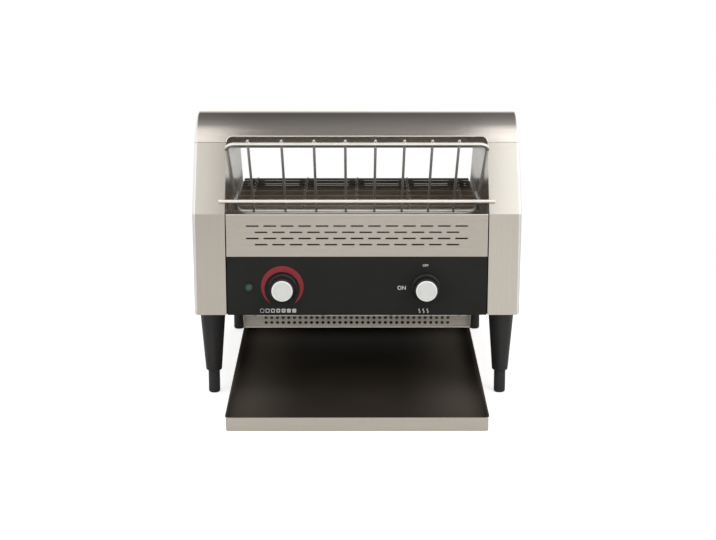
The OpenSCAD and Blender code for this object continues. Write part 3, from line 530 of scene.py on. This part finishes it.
SLICES = 7
SLICE_LOW = 0.1306
SLICE_HIGH = 0.1366
SLICE_HALF = 0.0029
SLICE_GAP = 0.0078
slices = bmesh.new()
for k in range(SLICES):
    middle = BROWNING_X - 0.0068 + (k - (SLICES - 1) / 2) * SLICE_GAP
    crown = [(middle + SLICE_HALF * 1.08 * math.cos(a), SLICE_HIGH - 0.0012 + 0.0014 * math.sin(a))
             for a in [math.pi * j / 8 for j in range(9)]]
    outer = [(middle - SLICE_HALF * 0.88, SLICE_LOW), (middle + SLICE_HALF * 0.88, SLICE_LOW), *crown]
    rim = [slices.verts.new((x, PRINT_Y, z)) for x, z in outer]
    if k == SLICES - 1:
        slices.faces.new(rim)
        continue
    hole = 0.78 * (1 - k / (SLICES - 1))
    centre_z = (SLICE_LOW + SLICE_HIGH) / 2
    inner = [(middle + (x - middle) * hole, centre_z + (z - centre_z) * hole) for x, z in outer]
    inner = [slices.verts.new((x, PRINT_Y, z)) for x, z in inner]
    for j in range(len(outer)):
        n = (j + 1) % len(outer)
        slices.faces.new((rim[j], rim[n], inner[n], inner[j]))
bmesh.ops.recalc_face_normals(slices, faces=slices.faces)
printed("slice_marks", slices, MARK_WHITE)

WAVE_LOW = 0.13
WAVE_RISE = 0.0068
WAVE_HALF = 0.0008
WAVE_STEPS = 12
waves = bmesh.new()
for k in range(3):
    middle = HEAT_X - 0.0034 + (k - 1) * 0.006
    left = []
    right = []
    for j in range(WAVE_STEPS + 1):
        z = WAVE_LOW + WAVE_RISE * j / WAVE_STEPS
        sway = 0.0008 * math.sin(2 * math.pi * j / WAVE_STEPS)
        left.append(waves.verts.new((middle + sway - WAVE_HALF, PRINT_Y, z)))
        right.append(waves.verts.new((middle + sway + WAVE_HALF, PRINT_Y, z)))
    for j in range(WAVE_STEPS):
        waves.faces.new((left[j], right[j], right[j + 1], left[j + 1]))
printed("heat_waves", waves, MARK_WHITE)

# ---- Chamber ----
# The two inner walls, the cover over the electrical space, the reflectors and the chute, all in sheet steel.
# The walls are darker down beside the belt, partly from heat stain and partly as painted shade, with a
# straw-coloured edge to the stain. The cover and the chute are the darkest, which is painted shade.


def stained_and_shaded_steel(name, low, high, rough=0.38, tint=STEEL, stain_and_shade_colour=(0.035, 0.027, 0.02), bare=1.0):
    """Steel that is darker below a height, partly heat stain and partly painted shade, with a straw-coloured
    edge to the stain.
    """
    finish = new_finish(name)
    where = finish.place()
    lines = finish.noise(where, 300, 3.0, (1, 0.05, 1))
    cloud = finish.noise(where, 14, 4.0)
    height = finish.part(where, "Z") + (cloud - 0.5) * 0.03
    clean = height.step_up(low, high)
    edge = 1 - (height - high).maths("ABSOLUTE") * (1 / (high - low))
    straw = finish.mix(edge.clamped() * 0.5, tint, (0.42, 0.31, 0.17))
    colour = finish.mix(clean, stain_and_shade_colour, straw)
    shade = finish.mix(lines.step_up(0.3, 0.7) * 0.25, colour, (0.1, 0.09, 0.08))
    finish.feed(finish.shader.inputs["Base Color"], shade)
    finish.feed(finish.shader.inputs["Metallic"], bare * (0.55 + 0.45 * clean))
    finish.feed(finish.shader.inputs["Roughness"], rough + 0.2 * (1 - clean) + 0.08 * (cloud - 0.5))
    set_bump(finish, lines, 0.05)
    return finish.owner


# The walls' darker lower part is partly heat stain and partly painted shade from the belt.
wall_steel = stained_and_shaded_steel("wall_steel", 0.24, 0.282, rough=0.25, tint=(0.95, 0.92, 0.87))
for wall in ("left_chamber_wall", "right_chamber_wall"):
    dress(wall, wall_steel, "body", "inner_steel", edge=0.0003)
inner_steel = stained_and_shaded_steel("inner_steel", 0.0, 0.4, tint=(0.62, 0.57, 0.5), stain_and_shade_colour=(0.2, 0.17, 0.13))
# The chute's and the cover's dark colours are painted shade.
chute_painted_shade = stained_and_shaded_steel("chute_painted_shade", 0.02, 0.03, tint=(0.1, 0.09, 0.075), rough=0.5)
cover_painted_shade = stained_and_shaded_steel("cover_painted_shade", 0.1, 0.6, tint=(0.3, 0.27, 0.23))
dress("compartment_cover", cover_painted_shade, "body", "inner_steel", edge=0.0003)
upper_steel = stained_and_shaded_steel("upper_steel", 0.0, 0.3, tint=(0.8, 0.74, 0.66), bare=0.2, rough=0.5)
dress("upper_reflector", upper_steel, "body", "inner_steel", edge=0.0003)
dress("lower_reflector", inner_steel, "body", "inner_steel", edge=0.0003)
dress("toast_chute", chute_painted_shade, "body", "inner_steel", edge=0.0003)

# ---- Heating elements ----
# Metal-sheathed rods, oxidised dark brown-grey by use, that pass through ceramic bushes in both walls.
sheath = new_finish("sheath", Metallic=0.4)
where = sheath.place()
mottle = sheath.noise(where, 60, 4.0, (0.3, 1, 1))
sheath.feed(sheath.shader.inputs["Base Color"],
            sheath.mix(mottle.step_up(0.35, 0.65), (0.12, 0.095, 0.072), (0.22, 0.18, 0.14)))
sheath.feed(sheath.shader.inputs["Roughness"], 0.42 + 0.2 * mottle)
set_bump(sheath, mottle, 0.2)
dress("upper_elements", sheath.owner, "body", "element_sheath", smooth=40)
dress("lower_elements", sheath.owner, "body", "element_sheath", smooth=40)

glaze = new_finish("ceramic_glaze", Coat_Weight=0.2)
where = glaze.place()
crazing = glaze.noise(where, 220, 4.0)
glaze.feed(glaze.shader.inputs["Base Color"], glaze.mix(crazing, (0.6, 0.57, 0.5), (0.75, 0.72, 0.66)))
glaze.feed(glaze.shader.inputs["Roughness"], 0.3 + 0.15 * crazing)
dress("element_bushes", glaze.owner, "body", "ceramic", smooth=40, edge=0.0003)

# ---- Belt ----
# Sixty straight wires, each hooked round the next, in plain steel that heat and crumbs have browned. The far
# end, the front bend and the wires low down are browner still, which is painted shade. They are thickened by
# the play in their eyes, so that no light from behind comes through. The belt slides on two rails and between
# the side guides.
BELT_START = FRONT + 0.07
BELT_CLEAN = 0.03703
EYE_PLAY = 0.00012


def belt_metal(name, dark, light, rough=0.42, metal=0.75, every=0.0):
    """Wire or bar that heat has browned unevenly. With every, some wires may be cleaner than the rest, and
    the far end, the front bend and the wires low down are browner, which is painted shade.
    """
    finish = new_finish(name, Metallic=metal)
    where = finish.place()
    patches = finish.noise(where, 24, 4.0, (0.6, 1.4, 1))
    fine = finish.noise(where, 700, 2.0, (0.2, 1, 1))
    colour = finish.mix((patches * 0.7 + fine * 0.3).step_up(0.35, 0.65), dark, light)
    if every:
        y = finish.part(where, "Y")
        z = finish.part(where, "Z")
        swing = ((y - BELT_START) * (2 * math.pi / every)).maths("COSINE")
        cleaner = tuple(min(1.0, part * 1.7) for part in light)
        # This browner colour is painted shade.
        painted_shade_brown = tuple(part * 0.4 for part in dark)
        colour = finish.mix(swing.step_up(0.6, 0.95) * 0.6, colour, cleaner)
        colour = finish.mix(y.step_up(0.13, 0.185), colour, painted_shade_brown)
        colour = finish.mix(y.step_up(BELT_START + 0.005, BELT_START + 0.03), painted_shade_brown, colour)
        colour = finish.mix(z.step_up(0.238, 0.245), painted_shade_brown, colour)
    finish.feed(finish.shader.inputs["Base Color"], colour)
    finish.feed(finish.shader.inputs["Roughness"], rough + 0.2 * patches)
    set_bump(finish, fine, 0.15)
    return finish.owner


wire_metal = belt_metal("wire_metal", (0.3, 0.245, 0.18), (0.46, 0.39, 0.31), rough=0.55, metal=0.25,
                        every=BELT_CLEAN)
guide_metal = belt_metal("guide_metal", (0.25, 0.215, 0.165), (0.38, 0.33, 0.27), rough=0.5, metal=0.4)
dress("conveyor_belt", wire_metal, "body", "belt_wire", smooth=40, thicken=EYE_PLAY)
dress("belt_side_guides", guide_metal, "body", "inner_steel", edge=0.0003)
dress("belt_support_rails", guide_metal, "body", "inner_steel", edge=0.0004)
dress("belt_cross_bars", guide_metal, "body", "inner_steel", smooth=40)

# ---- Shafts and drive ----
# Two turned shafts with turned steel rollers run in bronze bushes, held by locking collars. A painted
# gearmotor on stand-offs turns the front one from the right side bay.


def turned_metal(name, colour, rough=0.28):
    """Turned metal with faint rings round the X axis."""
    finish = new_finish(name, Metallic=1.0)
    where = finish.place()
    rings = finish.noise(where, 1400, 2.0, (1, 0.01, 0.01))
    darker = tuple(0.8 * part for part in colour)
    finish.feed(finish.shader.inputs["Base Color"], finish.mix(rings, darker, colour))
    finish.feed(finish.shader.inputs["Roughness"], rough + 0.12 * rings)
    set_bump(finish, rings, 0.06)
    return finish.owner


shaft_steel = turned_metal("shaft_steel", (0.5, 0.48, 0.45))
browned_shaft = turned_metal("browned_shaft", (0.1, 0.085, 0.07), 0.45)
bronze = turned_metal("bronze", (0.55, 0.33, 0.13))
for node, body in (("drive_shaft", "drive_roller"), ("drive_rollers", "drive_roller"),
                   ("drive_shaft_collar", "drive_roller"), ("idler_shaft", "idler_roller"),
                   ("idler_rollers", "idler_roller"), ("idler_shaft_collars", "idler_roller")):
    dress(node, browned_shaft, body, "machined_steel", smooth=40, edge=0.0003)
dress("shaft_bushes", bronze, "body", "bronze", smooth=40, edge=0.0002)
motor_paint = satin_black("motor_paint", (0.12, 0.125, 0.13), 0.4, 900, 0.2)
dress("gear_motor", motor_paint, "body", "machined_steel", smooth=40, edge=0.0006)

# ---- Feed rack ----
# A bent rod frame with eight welded wires that bread slides down, and a long rest bar on two arms that lies
# across the side flanges. All polished stainless rod. The frame's sides, the wires, the rest bar's arms and
# the hooks have painted shade, and the bottom rod, the rest bar and the welds a painted highlight. The
# wires' ends hook round the bottom rod. The rack lifts out along its slope.
RACK_TOP = Vector((0, FRONT - 0.028, 0.385))
RACK_LOW = Vector((0, FRONT + 0.104, 0.259))
RACK_LENGTH = (RACK_LOW - RACK_TOP).length
RACK_DOWN = (RACK_LOW - RACK_TOP) / RACK_LENGTH
RACK_UP = Vector((1, 0, 0)).cross(RACK_DOWN)
RACK_TOP_HALF = 0.1845
RACK_LOW_HALF = 0.18
RACK_BEND = 0.012
BOTTOM_ROD_TOP = 0.2615
TOP_ROD_BOTTOM = 0.375
SIDE_RODS_INNER = 0.176
ROD = 0.0029
WIRES = 8
MIDDLE_WIRE = (WIRES - 1) / 2
WIRE_GAP = 0.0427
HOOK_WIDTH = 0.0018
HOOK_DEPTH = 0.0008
# Four copies of one polished rod steel: the lighter one is a painted highlight, the wire and shaded ones
# painted shade.
rod_steel = bright_rod("rod_steel", (0.9, 0.86, 0.8), 0.3)
painted_highlight_steel = bright_rod("painted_highlight_steel", (1.0, 0.94, 0.87), 0.35, metal=0.4)
wire_painted_shade = bright_rod("wire_painted_shade", (0.62, 0.6, 0.55), 0.3)
shaded_steel = bright_rod("shaded_steel", (0.22, 0.21, 0.19), 0.4)


def frame_finish(place, normal):
    """The frame's sides and the underside of its top rod have painted shade, and the bottom rod a painted
    highlight.
    """
    if place.z < BOTTOM_ROD_TOP:
        return 1
    if abs(place.x) > SIDE_RODS_INNER and place.z < TOP_ROD_BOTTOM:
        return 2
    return 3 if normal.z < -0.15 and place.z > TOP_ROD_BOTTOM else 0


def on_rack(x, down, up=0.0):
    """A point of the rack: across, down its slope from the top rod, and above it."""
    return RACK_TOP + Vector((x, 0, 0)) + RACK_DOWN * down + RACK_UP * up


frame_path = []
for x, down, side_x, side_down, start in ((RACK_TOP_HALF, 0, -1, 1, -90),
                                          (RACK_LOW_HALF, RACK_LENGTH, -1, -1, 0),
                                          (-RACK_LOW_HALF, RACK_LENGTH, 1, -1, 90),
                                          (-RACK_TOP_HALF, 0, 1, 1, 180)):
    for k in range(10):
        angle = math.radians(start + 10 * k)
        frame_path.append(on_rack(x + RACK_BEND * (side_x + math.cos(angle)),
                                  down + RACK_BEND * (side_down + math.sin(angle))))
rod("rack_frame_rod", frame_path, ROD, [rod_steel, painted_highlight_steel, wire_painted_shade, shaded_steel], "feed_rack",
    "rack_rod", ["rack_frame"], closed=True, pick=frame_finish)
dress("rack_wires_group", wire_painted_shade, "feed_rack", "rack_rod", smooth=50, edge=0.0016, edge_steps=4,
      level=False)
rest_bar = joined("rack_rest_bar")
# The rest bar's arms get painted shade.
for face in rest_bar.faces:
    face.material_index = 1 if face.calc_center_median().y > FRONT + 0.013 else 0
show("rack_rest_bar_finished", rest_bar, [painted_highlight_steel, wire_painted_shade], "feed_rack", "rack_rod", ["rack_rest_bar"],
     smooth=50, edge=0.0008, edge_steps=3, level=False)
dress("rack_pegs", rod_steel, "body", "machined_steel", smooth=50, edge=0.0005)

welds = bmesh.new()
hooks = bmesh.new()
for k in range(WIRES):
    step = k - MIDDLE_WIRE
    across = step * WIRE_GAP + 0.005 * (1 - 2 * (step / MIDDLE_WIRE) ** 2)
    for down in (0, RACK_LENGTH):
        for side_x in (-1, 1):
            place = Matrix.Translation(on_rack(across + side_x * 0.0015, down, ROD))
            bmesh.ops.create_icosphere(welds, subdivisions=2, radius=0.0013, matrix=place)
    centre = on_rack(across, RACK_LENGTH)
    oval = Matrix.Diagonal((HOOK_WIDTH, 1, HOOK_DEPTH, 1)) @ Matrix.Rotation(math.pi / 2, 4, "X")
    start = Matrix.Translation(centre + Vector((0, 0, ROD + HOOK_DEPTH))) @ oval
    loop = bmesh.ops.create_circle(hooks, segments=10, radius=1, matrix=start)["verts"]
    ring = list({edge for vert in loop for edge in vert.link_edges})
    bmesh.ops.spin(hooks, geom=ring, cent=centre, axis=(1, 0, 0), angle=2 * math.pi, steps=24, use_merge=True)
bmesh.ops.recalc_face_normals(hooks, faces=hooks.faces)
show("rack_welds", welds, painted_highlight_steel, "feed_rack", "rack_rod", level=False)
show("rack_hooks", hooks, shaded_steel, "feed_rack", "rack_rod", smooth=60, level=False)

# ---- Knobs ----
# Black moulded knobs with a scalloped grip and a wide skirt, each with a pale satin metal disc pressed into
# its face. They push onto flatted spindles from the controls behind the panel.
knob_black = satin_black("knob_black", (0.012, 0.012, 0.012), 0.34, 1800, 0.15)
CAP_RADIUS = 0.0154


def satin_disc(name, centre):
    """Satin metal turned about the knob's axis, with a painted highlight on its chamfer."""
    finish = new_finish(name, Metallic=0.35)
    where = finish.place()
    radius = ((finish.part(where, "X") - centre) ** 2 + (finish.part(where, "Z") - KNOB_HEIGHT) ** 2) ** 0.5
    rings = (radius * 12000).maths("SINE") * 0.5 + 0.5
    cloud = finish.noise(where, 160, 3.0)
    satin = finish.mix(rings * 0.4 + cloud * 0.6, (0.7, 0.7, 0.67), (0.88, 0.88, 0.85))
    # The brighter ring at the chamfer is a painted highlight.
    rim = radius.step_up(CAP_RADIUS - 0.0022, CAP_RADIUS - 0.0012)
    finish.feed(finish.shader.inputs["Base Color"], finish.mix(rim, satin, (1.0, 1.0, 0.98)))
    finish.feed(finish.shader.inputs["Roughness"], 0.34 + 0.1 * cloud)
    set_bump(finish, rings, 0.08)
    return finish.owner


control_black = satin_black("control_black", (0.03, 0.03, 0.034), 0.45, 900, 0.3)
for control, node, centre in (("browning", "browning_controller", BROWNING_X),
                              ("heat", "heat_switch", HEAT_X)):
    turning = control + "_control"
    dress(control + "_knob", knob_black, turning, "black_plastic", smooth=40, edge=0.0004, edge_steps=3)
    cap_metal = satin_disc(control + "_disc", centre)
    dress(control + "_knob_cap", cap_metal, turning, "knob_cap", smooth=30, edge=0.0003)
    dress(control + "_spindle", shaft_steel, turning, "machined_steel", smooth=40)
    dress(node, control_black, "body", "control_plastic", smooth=40, edge=0.0004)

# ---- Pilot lamp ----
# A black bezel that snaps into the panel round a green lens with a ribbed face. The lamp is off.
LAMP_X = -0.157
bezel_green = satin_black("bezel_green", (0.008, 0.02, 0.014), 0.4, 900, 0.2)
dress("pilot_lamp", bezel_green, "body", "black_plastic", smooth=40, edge=0.0002)
lens = new_finish("green_lens", Coat_Weight=0.2, Roughness=0.3, Specular_IOR_Level=0.3)
where = lens.place()
across = ((lens.part(where, "X") - LAMP_X) ** 2 + (lens.part(where, "Z") - KNOB_HEIGHT) ** 2) ** 0.5
ribs = (across * 6000).maths("SINE")
lens.feed(lens.shader.inputs["Base Color"],
          lens.mix(across.step_up(0.0005, 0.0052), (0.04, 0.115, 0.068), (0.018, 0.052, 0.033)))
set_bump(lens, ribs, 0.3)
dress("pilot_lens", lens.owner, "body", "lamp_lens", smooth=50)

# ---- Cable gland and screws ----
# A black nylon gland in the rear flange of the right side, empty here, and plated pan-head screws that hold
# the base and the front panels from below.
dress("cable_entry_plate", plate_steel, "body", "casing_steel", edge=0.0003)
dress("cable_gland", control_black, "body", "black_plastic", smooth=30, edge=0.0005)
plated = bright_rod("plated", (0.55, 0.54, 0.51), 0.3)
dress("base_screws", plated, "body", "machined_steel", smooth=40, edge=0.0002)
dress("front_screws", plated, "body", "machined_steel", smooth=40, edge=0.0002)
dress("entry_screws", plated, "body", "machined_steel", smooth=40, edge=0.0002)

# ---- Heat guard ----
# A bent strip of steel under the front edge with two rows of punched holes, closed by a cheek at each end
# and stiffened by a bead over the holes. Its lower lip and the bead carry a painted highlight, and the holes'
# sides painted shade.
guard_steel = new_finish("guard_steel", Metallic=0.35)
where = guard_steel.place()
grain = guard_steel.noise(where, 900, 3.0, (0.03, 1, 1))
guard_steel.feed(guard_steel.shader.inputs["Base Color"],
                 guard_steel.mix(grain.step_up(0.3, 0.7), (0.42, 0.39, 0.345), (0.5, 0.465, 0.415)))
guard_steel.feed(guard_steel.shader.inputs["Roughness"], 0.55 + 0.1 * grain)
set_bump(guard_steel, grain, 0.05)
GUARD_BEND = Vector((0, FRONT + 0.022, 0.1258))
GUARD_SLOPE = math.radians(76)
GUARD_DOWN = Vector((0, math.cos(GUARD_SLOPE), -math.sin(GUARD_SLOPE)))
GUARD_OUT = Vector((0, GUARD_DOWN.z, -GUARD_DOWN.y))
GUARD_LIP = 0.1035
HOLES_HALF = 0.16
HOLE_FACE = 0.000006
BEAD_HALF = 0.165
guard = joined("heat_guard")
for face in guard.faces:
    middle = face.calc_center_median()
    inner = abs(face.normal.dot(GUARD_OUT)) < 0.4 and abs(middle.x) < HOLES_HALF
    hole = inner and face.calc_area() < HOLE_FACE
    # The lip gets the painted highlight steel and the holes' sides the painted shade.
    face.material_index = 2 if middle.z < GUARD_LIP else 1 if hole else 0
show("heat_guard_finished", guard, [guard_steel.owner, cut_painted_shade, painted_highlight_steel], "body", "casing_steel",
     ["heat_guard"], smooth=30, edge=0.0002)
bead_middle = GUARD_BEND + GUARD_DOWN * 0.0064 + GUARD_OUT * 0.0004
bead = [bead_middle + Vector((side_x * BEAD_HALF, 0, 0)) for side_x in (-1, 1)]
rod("guard_bead", bead, 0.0008, painted_highlight_steel, "body", "casing_steel")

# ---- Legs ----
# Four tapered legs moulded in black nylon, with a slight orange-peel surface, and the adjuster feet that
# screw into them.
leg_black = satin_black("leg_black", (0.014, 0.013, 0.0125), 0.36, 1100, 0.2, spread=0.4)
foot_black = satin_black("foot_black", (0.017, 0.016, 0.016), 0.42, 1500, 0.2)
for place, body in (("front_left", "foot_front_left"), ("front_right", "foot_front_right"),
                    ("rear_left", "foot_rear_left"), ("rear_right", "foot_rear_right")):
    dress(place + "_leg", leg_black, "body", "leg_plastic", smooth=40, edge=0.0008, edge_steps=3)
    dress(place + "_foot", foot_black, body, "foot_metal", smooth=40, edge=0.0006, edge_steps=3)

# ---- Tray ----
# A shallow folded tray in brushed steel with a dark baked-on coating inside. Its sides are hemmed. The
# coating is lighter towards its sides, most of all further back, which is painted light and shade.
TRAY_HALF = 0.184
TRAY_LENGTH = 0.5
TRAY_FRONT = FRONT - 0.145
TRAY_BACK = TRAY_FRONT + TRAY_LENGTH
tray_steel = brushed_steel("tray_outside", "x", rough=0.36)
coating = new_finish("tray_coating", Specular_IOR_Level=0.02)
where = coating.place()
crumbs = coating.noise(where, 900, 3.0)
worn = coating.noise(where, 6, 5.0)
baked = coating.mix(worn.step_up(0.35, 0.7), (0.028, 0.0225, 0.0172), (0.036, 0.0295, 0.0225))
# The lighter sides of the coating are painted light and shade.
outwards = (coating.part(where, "X") + 0.008).maths("ABSOLUTE").step_up(0.07, 0.175)
backwards = coating.part(where, "Y").step_up(TRAY_FRONT, TRAY_FRONT + 0.18)
painted_light_sides = outwards * (0.4 + 0.6 * backwards)
coating.feed(coating.shader.inputs["Base Color"], coating.mix(painted_light_sides, baked, (0.095, 0.082, 0.067)))
coating.feed(coating.shader.inputs["Roughness"], 0.65 + 0.14 * worn)
set_bump(coating, crumbs, 0.12)
tray = joined("toast_tray")
for face in tray.faces:
    middle = face.calc_center_median()
    inward = Vector((middle.x, middle.y - (TRAY_FRONT + TRAY_BACK) / 2, 0))
    inside = abs(middle.x) < TRAY_HALF - 0.0004 and TRAY_FRONT + 0.0006 < middle.y < TRAY_BACK - 0.0006
    if inside and (face.normal.z > 0.5 or face.normal.dot(inward) < -0.001):
        face.material_index = 1
show("toast_tray_finished", tray, [tray_steel, coating.owner], "tray", "tray_steel", ["toast_tray"],
     edge=0.0003)
